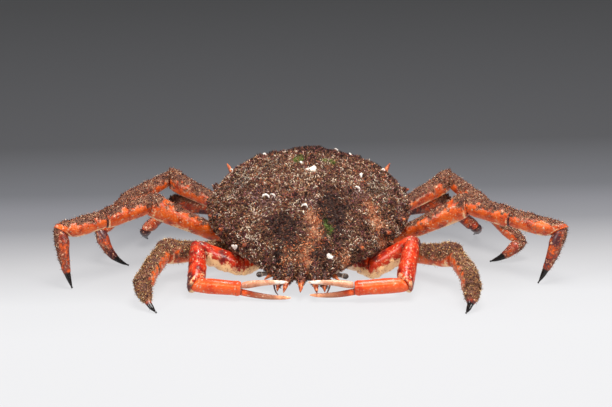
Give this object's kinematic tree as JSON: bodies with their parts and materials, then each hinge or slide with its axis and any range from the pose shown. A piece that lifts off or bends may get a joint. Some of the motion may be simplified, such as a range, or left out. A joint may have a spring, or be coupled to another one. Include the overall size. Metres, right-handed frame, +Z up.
{
  "type": "cooked spider crab",
  "caption": "Cooked spider crab resting on its belly: domed, weed-crusted carapace, folded slender claws in front, and bent walking legs with dark pointed tips spread to both sides.",
  "frame": {"origin": "middle of the flat spot under the belly, on the surface that the crab rests on", "axes": "+Z up; the crab faces -Y; +X is the crab's own left and the direction of its longest extent, across the spread legs"},
  "size_m": [0.3624, 0.1958, 0.0775],
  "materials": {
    "carapace_crust": "rough brown weed and crust",
    "belly_shell": "pale cooked shell, satin",
    "leg_shell": "orange cooked shell, satin",
    "leg_crust": "brown hairy crust over orange shell",
    "dactylus_shell": "red-brown shell with a glossy black tip",
    "claw_shell": "bright red cooked shell, semi-gloss",
    "palm_shell": "smooth salmon-orange shell, semi-gloss",
    "finger_shell": "pinkish beige shell, semi-gloss",
    "eyestalk_shell": "grey-brown, moist",
    "antenna_shell": "dark red-brown"
  },
  "bodies": {
    "root": {"carapace": "carapace_crust", "thorax": "belly_shell", "abdomen": "belly_shell", "eyestalk_left": "eyestalk_shell", "eyestalk_right": "eyestalk_shell", "antenna_left": "antenna_shell", "antenna_right": "antenna_shell", "claw_left_ischium": "belly_shell", "claw_left_merus": "claw_shell", "claw_left_carpus": "claw_shell", "claw_left_palm": "palm_shell", "claw_left_finger": "finger_shell", "claw_right_ischium": "belly_shell", "claw_right_merus": "claw_shell", "claw_right_carpus": "claw_shell", "claw_right_palm": "palm_shell", "claw_right_finger": "finger_shell", "leg_1_left_ischium": "leg_shell", "leg_1_left_merus": "leg_shell", "leg_1_left_carpus": "leg_crust", "leg_1_left_propodus": "leg_crust", "leg_1_left_dactylus": "dactylus_shell", "leg_1_right_ischium": "leg_shell", "leg_1_right_merus": "leg_shell", "leg_1_right_carpus": "leg_crust", "leg_1_right_propodus": "leg_crust", "leg_1_right_dactylus": "dactylus_shell", "leg_2_left_ischium": "leg_shell", "leg_2_left_merus": "leg_shell", "leg_2_left_carpus": "leg_crust", "leg_2_left_propodus": "leg_crust", "leg_2_left_dactylus": "dactylus_shell", "leg_2_right_ischium": "leg_shell", "leg_2_right_merus": "leg_shell", "leg_2_right_carpus": "leg_crust", "leg_2_right_propodus": "leg_crust", "leg_2_right_dactylus": "dactylus_shell", "leg_3_left_ischium": "leg_shell", "leg_3_left_merus": "leg_shell", "leg_3_left_carpus": "leg_crust", "leg_3_left_propodus": "leg_crust", "leg_3_left_dactylus": "dactylus_shell", "leg_3_right_ischium": "leg_shell", "leg_3_right_merus": "leg_shell", "leg_3_right_carpus": "leg_crust", "leg_3_right_propodus": "leg_crust", "leg_3_right_dactylus": "dactylus_shell", "leg_4_left_ischium": "leg_shell", "leg_4_left_merus": "leg_shell", "leg_4_left_carpus": "leg_crust", "leg_4_left_propodus": "leg_crust", "leg_4_left_dactylus": "dactylus_shell", "leg_4_right_ischium": "leg_shell", "leg_4_right_merus": "leg_shell", "leg_4_right_carpus": "leg_crust", "leg_4_right_propodus": "leg_crust", "leg_4_right_dactylus": "dactylus_shell"}
  },
  "joints": []
}
